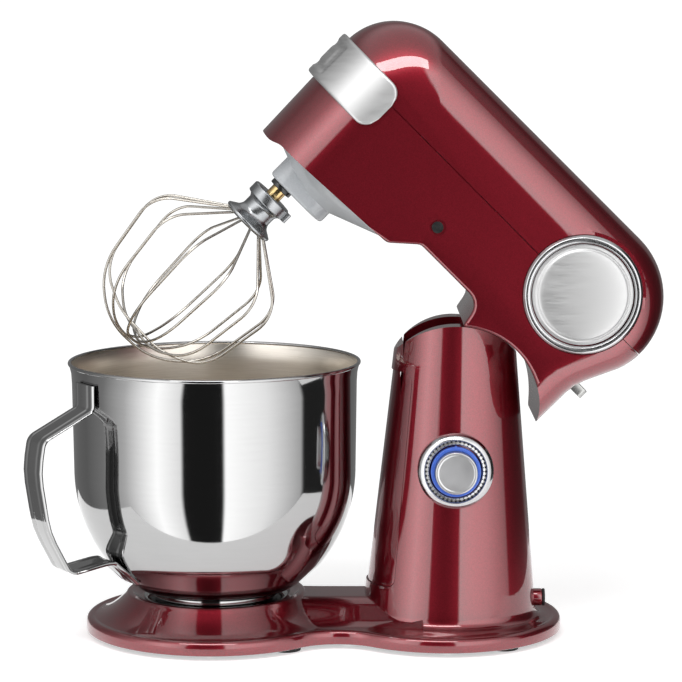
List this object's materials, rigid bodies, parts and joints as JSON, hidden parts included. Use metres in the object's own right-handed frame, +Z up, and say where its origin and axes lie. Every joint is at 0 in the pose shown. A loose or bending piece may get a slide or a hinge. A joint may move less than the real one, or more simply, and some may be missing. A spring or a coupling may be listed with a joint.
{
  "type": "stand mixer",
  "caption": "Tilt-head stand mixer with a column, speed dial, planetary drive, wire whisk and a handled steel bowl; the head is stored tilted back.",
  "frame": {"origin": "on the table, under the middle of the whole mixer's box", "axes": "+Z up, +X towards the back of the mixer, +Y to the side away from the speed dial"},
  "size_m": [0.4671, 0.2194, 0.4577],
  "materials": {
    "red_enamel": "candy clear-coated metallic enamel",
    "satin_metal": "satin, fine brushed",
    "chrome_trim": "polished",
    "dial_metal": "satin",
    "scale_ring": "satin, with dark marks",
    "light_ring": "translucent",
    "bowl_steel": "polished outside, brushed inside",
    "planet_grey": "light grey enamel",
    "whisk_cast": "satin cast",
    "whisk_wire": "polished wire",
    "shaft_brass": "turned",
    "bush_bronze": "sintered",
    "collar_black": "moulded",
    "black_plastic": "moulded",
    "board_green": "laminate",
    "encoder_plastic": "moulded",
    "rubber": "matt",
    "lever_metal": "satin cast",
    "steel": "plain",
    "fastener_steel": "zinc plated",
    "gear_steel": "hardened, oiled",
    "gear_housing": "die cast",
    "pulley": "moulded",
    "copper": "turned"
  },
  "bodies": {
    "base": {"base_casting": "red_enamel", "column_front_panel": "red_enamel", "bottom_cover": "black_plastic", "rubber_feet": "rubber", "bottom_screws": "fastener_steel", "bowl_clamp_plate": "steel", "clamp_screws": "fastener_steel", "cord_gland": "rubber", "tilt_axle": "steel", "lock_plate": "steel", "control_board": "board_green", "speed_encoder": "encoder_plastic", "dial_bezel": "chrome_trim", "dial_scale_ring": "scale_ring"},
    "speed_dial": {"dial_knob": "dial_metal", "dial_light_ring": "light_ring"},
    "bowl": {"bowl_shell": "bowl_steel", "bowl_foot_ring": "bowl_steel", "bowl_handle": "bowl_steel"},
    "head": {"head_upper_shell": "red_enamel", "head_lower_shell": "red_enamel", "side_cap_ring_left": "chrome_trim", "side_cap_ring_right": "chrome_trim", "side_cap_left": "satin_metal", "side_cap_right": "satin_metal", "outlet_port": "black_plastic", "gearbox_housing": "gear_housing", "motor_can": "steel", "motor_mount": "steel", "ring_gear": "gear_steel", "main_bearings": "steel", "layshaft_bearings": "steel", "head_screws": "fastener_steel", "drive_belt": "rubber", "lever_bracket": "steel", "lever_pin": "steel", "lever_spring": "steel", "pivot_bushes": "bush_bronze", "brush_holders": "black_plastic", "field_magnets": "steel"},
    "port_cover": {"port_cover": "satin_metal"},
    "rotor": {"motor_shaft": "steel", "armature": "steel", "commutator": "copper", "cooling_fan": "pulley", "motor_pulley": "pulley"},
    "layshaft": {"layshaft": "steel", "large_pulley": "pulley", "bevel_pinion": "gear_steel", "outlet_drive_socket": "gear_steel"},
    "planet_carrier": {"main_shaft": "steel", "bevel_gear": "gear_steel", "planet_carrier": "planet_grey"},
    "beater": {"beater_shaft": "shaft_brass", "planet_gear": "gear_steel", "beater_pin": "fastener_steel", "beater_collar": "collar_black"},
    "whisk": {"whisk_hub": "whisk_cast", "whisk_wires": "whisk_wire"},
    "lock_lever": {"lock_lever": "lever_metal"}
  },
  "joints": [
    {"name": "head_tilt", "type": "hinge", "parent": "base", "child": "head", "pos_m": [0.0845, 0, 0.1785], "axis": [0, 1, 0], "range_deg": [-45, 0]},
    {"name": "carrier_spin", "type": "hinge", "parent": "head", "child": "planet_carrier", "pos_m": [0.00849, 0, 0.35563], "axis": [0.7071, 0, 0.7071], "continuous": true},
    {"name": "beater_spin", "type": "hinge", "parent": "planet_carrier", "child": "beater", "pos_m": [-0.02864, 0, 0.35033], "axis": [0.7071, 0, 0.7071], "continuous": true},
    {"name": "layshaft_spin", "type": "hinge", "parent": "head", "child": "layshaft", "pos_m": [0.03465, 0, 0.38179], "axis": [0.7071, 0, -0.7071], "continuous": true},
    {"name": "motor_spin", "type": "hinge", "parent": "head", "child": "rotor", "pos_m": [0.16299, 0, 0.30578], "axis": [0.7071, 0, -0.7071], "continuous": true},
    {"name": "whisk_release", "type": "slide", "parent": "beater", "child": "whisk", "axis": [0.7071, 0, 0.7071], "range_m": [0, 0.005], "stiffness_N_per_m": 300, "springref_m": -0.004},
    {"name": "dial_turn", "type": "hinge", "parent": "base", "child": "speed_dial", "pos_m": [0.084, -0.0467, 0.1305], "axis": [0, -0.9985, 0.054], "range_deg": [-25, 285]},
    {"name": "lock_press", "type": "hinge", "parent": "head", "child": "lock_lever", "pos_m": [0.15733, 0, 0.20396], "axis": [0, 1, 0], "range_deg": [0, 8], "stiffness_Nm_per_rad": 1, "springref_deg": -5.73},
    {"name": "cover_pull", "type": "slide", "parent": "head", "child": "port_cover", "axis": [-0.7071, 0, 0.7071], "range_m": [0, 0.03]},
    {"name": "bowl_twist", "type": "hinge", "parent": "base", "child": "bowl", "pos_m": [-0.0945, 0, 0.1], "axis": [0, 0, 1], "range_deg": [0, 35]}
  ],
  "couplings": [
    {"joint": "beater_spin", "follows": "carrier_spin", "ratio": -3},
    {"joint": "layshaft_spin", "follows": "carrier_spin", "ratio": 2},
    {"joint": "motor_spin", "follows": "carrier_spin", "ratio": 10}
  ]
}
